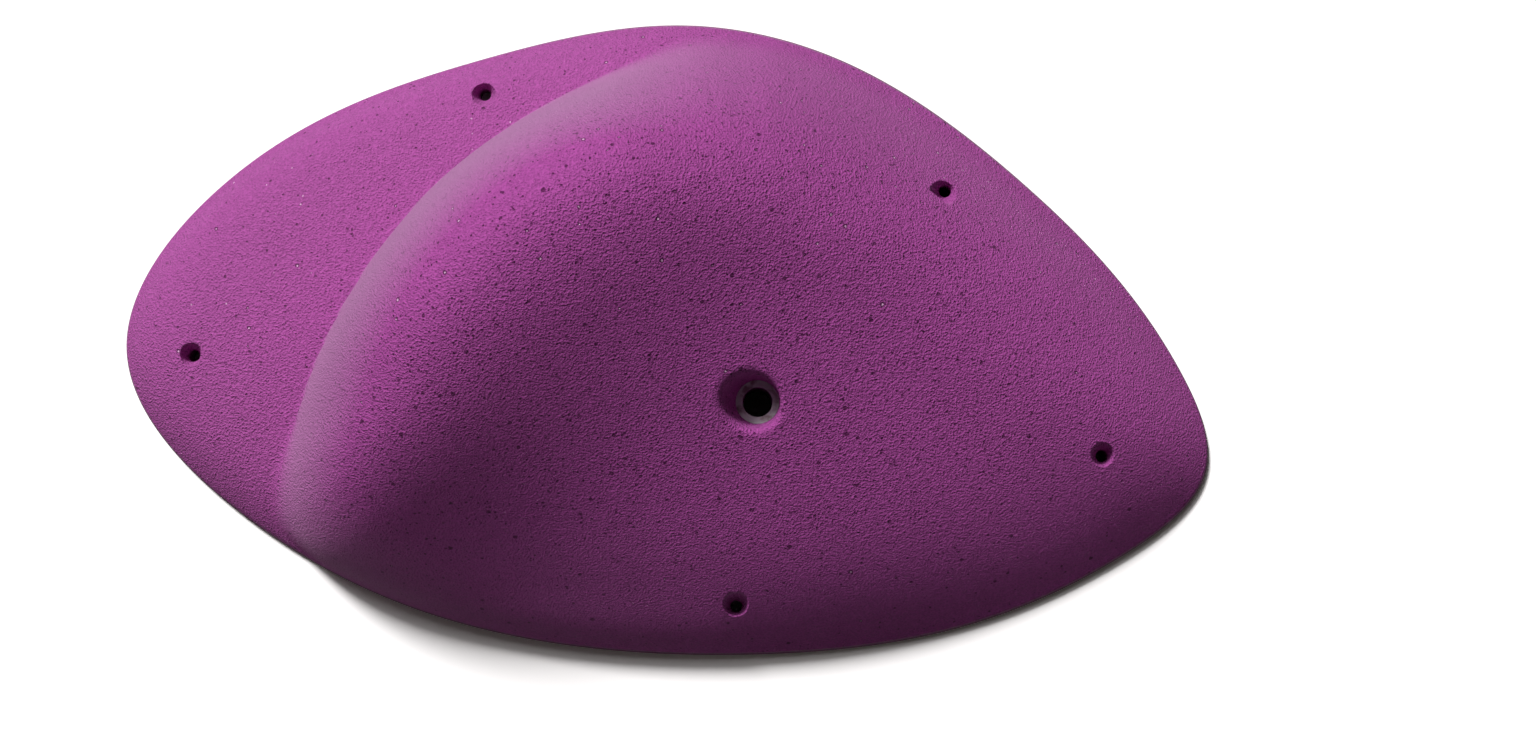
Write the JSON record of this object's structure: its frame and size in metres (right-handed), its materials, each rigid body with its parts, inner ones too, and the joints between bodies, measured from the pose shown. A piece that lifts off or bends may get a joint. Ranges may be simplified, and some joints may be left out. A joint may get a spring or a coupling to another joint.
{
  "type": "climbing hold",
  "caption": "Large sloper climbing hold: a rounded dome with a low wing, hollow at the back, with a counterbored bolt hole and set screw holes.",
  "frame": {"origin": "on the wall plane, at the middle of the hold's outline box", "axes": "+X along the hold's length towards its pointed end, +Y up in the picture, +Z straight out of the wall"},
  "size_m": [0.541, 0.315, 0.1499],
  "materials": {
    "polyurethane": "purple pigmented polyurethane with a fine blasted grain and small pores",
    "washer_steel": "zinc-plated steel"
  },
  "bodies": {
    "root": {"hold_shell": "polyurethane", "bolt_washer": "washer_steel"}
  },
  "joints": []
}
